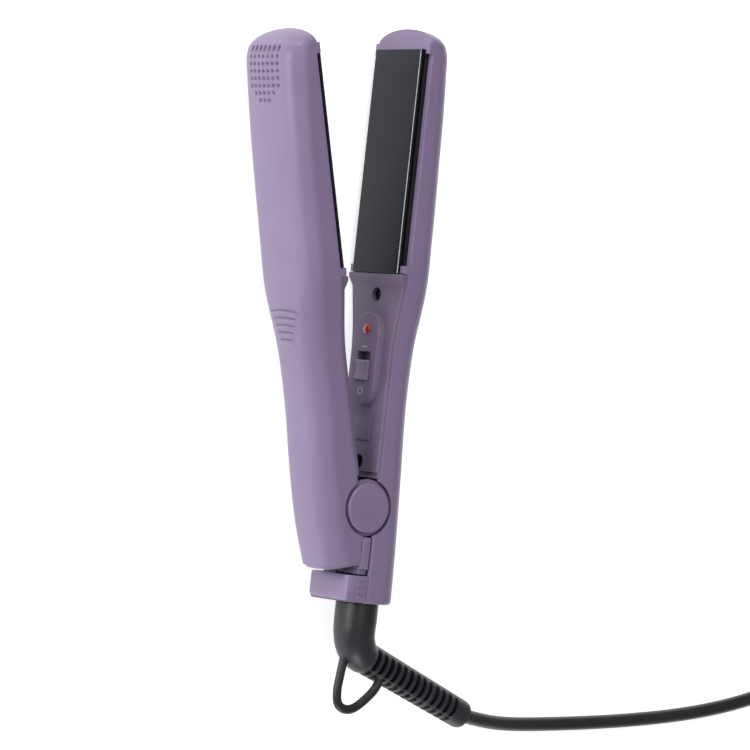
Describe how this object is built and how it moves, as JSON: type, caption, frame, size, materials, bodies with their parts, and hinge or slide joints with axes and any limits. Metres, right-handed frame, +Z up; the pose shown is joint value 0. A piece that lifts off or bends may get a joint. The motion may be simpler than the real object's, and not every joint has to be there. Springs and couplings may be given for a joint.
{
  "type": "hair straightener",
  "caption": "Hair straightener with two hinged arms, floating heated plates, a thumb switch, a closing lock and a swivelling mains cord with a hanging loop.",
  "frame": {"origin": "middle of the arms' footprint on the table, without the cord's parts", "axes": "+Y from the hinge towards the tips of the arms, +Z up from the table, along the hinge axis; the main arm leans to +X and the lever arm to -X"},
  "size_m": [0.4594, 0.376, 0.045],
  "materials": {
    "shell": "satin mauve moulding",
    "lock": "satin mauve moulding",
    "knob": "satin mauve moulding with a concave thumb face",
    "carrier": "black heat-resistant moulding",
    "plate": "gloss blue-black ceramic coating on aluminium, with bright milled edges",
    "heater": "ceramic heater in a pale film",
    "lens": "clear red lens",
    "board": "green circuit board with soldered parts",
    "switch": "black switch housing",
    "steel": "bright steel",
    "rubber": "charcoal rubber with a fine grain",
    "cord": "black flexible cord sheath",
    "neck": "charcoal moulding",
    "tie": "woven hook-and-loop strap",
    "plug": "black moulded plug",
    "brass": "plated brass",
    "lead": "fibreglass-sleeved wire"
  },
  "bodies": {
    "main_arm": {"main_back_shell": "shell", "main_inner_cover": "shell", "main_cover_screws": "steel", "main_plate_carrier": "carrier", "main_float_springs": "steel", "main_heater_leads": "lead", "switch_bezel": "shell", "indicator_lens": "lens", "circuit_board": "board", "switch_body": "switch", "main_hinge_bracket": "steel", "hinge_pin": "steel", "near_hinge_disc": "shell", "far_hinge_disc": "shell", "torsion_spring": "steel", "main_tail_cover": "shell", "power_cord": "cord", "cord_tail": "cord", "cord_coil": "cord", "cord_tie": "tie", "plug_body": "plug", "plug_blades": "brass"},
    "lever_arm": {"lever_back_shell": "shell", "lever_inner_cover": "shell", "lever_cover_screws": "steel", "lever_plate_carrier": "carrier", "lever_float_springs": "steel", "lever_heater_leads": "lead", "lever_hinge_bracket": "steel", "lever_tail_cover": "shell"},
    "main_plate_float": {"main_heating_plate": "plate", "main_heater": "heater"},
    "lever_plate_float": {"lever_heating_plate": "plate", "lever_heater": "heater"},
    "power_switch": {"switch_knob": "knob"},
    "lock": {"lock_slider": "lock"},
    "cord_swivel": {"swivel_neck": "neck", "swivel_retainer": "steel", "strain_relief": "rubber", "hanging_loop": "rubber"}
  },
  "joints": [
    {"name": "lever_hinge", "type": "hinge", "parent": "main_arm", "child": "lever_arm", "pos_m": [0, -0.09535, 0.0225], "axis": [0, 0, 1], "range_deg": [-15.6, 0], "stiffness_Nm_per_rad": 0.8, "springref_deg": 20.05, "deforming": ["torsion_spring"]},
    {"name": "switch_slide", "type": "slide", "parent": "main_arm", "child": "power_switch", "axis": [0.1357, 0.9907, 0], "range_m": [0, 0.0044]},
    {"name": "lock_slide", "type": "slide", "parent": "main_arm", "child": "lock", "axis": [0.1357, 0.9907, 0], "range_m": [0, 0.0032]},
    {"name": "main_plate_slide", "type": "slide", "parent": "main_arm", "child": "main_plate_float", "axis": [0.9907, -0.1357, 0], "range_m": [0, 0.001], "stiffness_N_per_m": 2000, "springref_m": -0.001, "deforming": ["main_float_springs"]},
    {"name": "lever_plate_slide", "type": "slide", "parent": "lever_arm", "child": "lever_plate_float", "axis": [-0.9907, -0.1357, 0], "range_m": [0, 0.001], "stiffness_N_per_m": 2000, "springref_m": -0.001, "deforming": ["lever_float_springs"]},
    {"name": "cord_swivel_turn", "type": "hinge", "parent": "main_arm", "child": "cord_swivel", "pos_m": [0.0052, -0.14653, 0.0225], "axis": [0.1357, 0.9907, 0], "range_deg": [-90, 90]}
  ]
}
